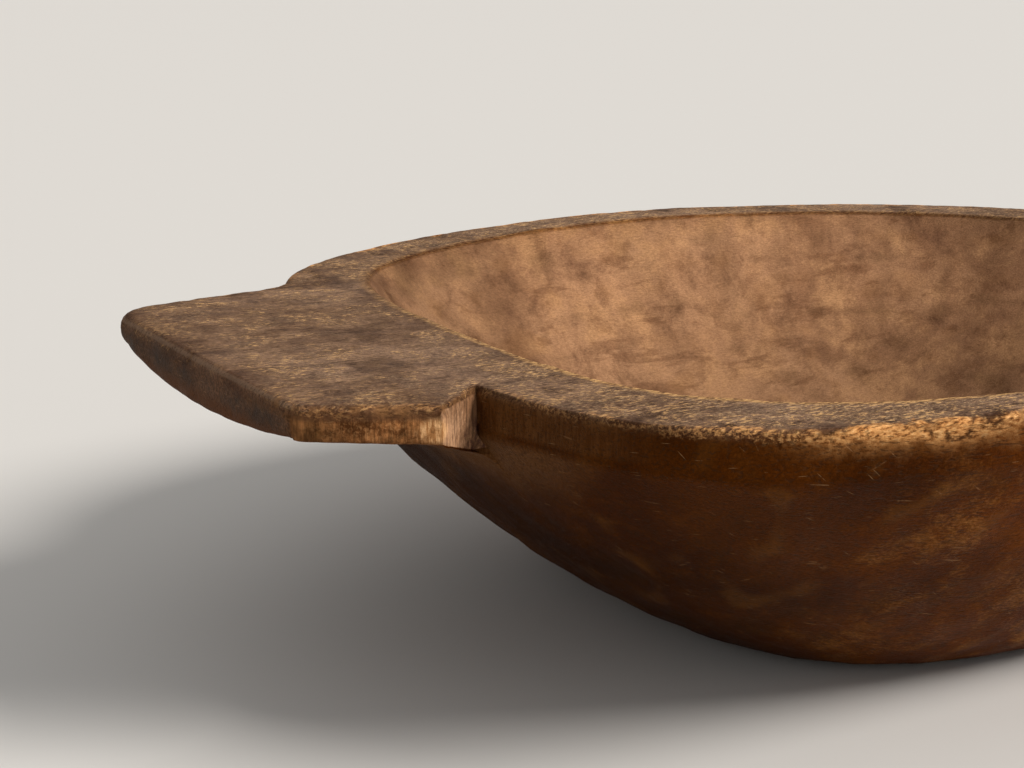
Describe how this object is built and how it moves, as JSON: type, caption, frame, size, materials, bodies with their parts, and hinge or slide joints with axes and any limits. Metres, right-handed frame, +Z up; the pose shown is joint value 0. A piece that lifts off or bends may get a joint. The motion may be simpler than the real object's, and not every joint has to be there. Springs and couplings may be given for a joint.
{
  "type": "carved wooden dough bowl",
  "caption": "Wide oblong bowl carved from one piece of wood, with a broad flat rim, sloping walls, a flat base and a stubby lug handle at each end.",
  "frame": {"origin": "middle of the flat base, on the surface the bowl stands on", "axes": "+X along the grain from the left handle to the right handle, +Y away from the near side, +Z up out of the hollow"},
  "size_m": [0.6486, 0.427, 0.135],
  "materials": {
    "wood": "old hand-worn dark patina, matte on top and slightly waxy on the walls"
  },
  "bodies": {
    "root": {"bowl_body": "wood"}
  },
  "joints": []
}
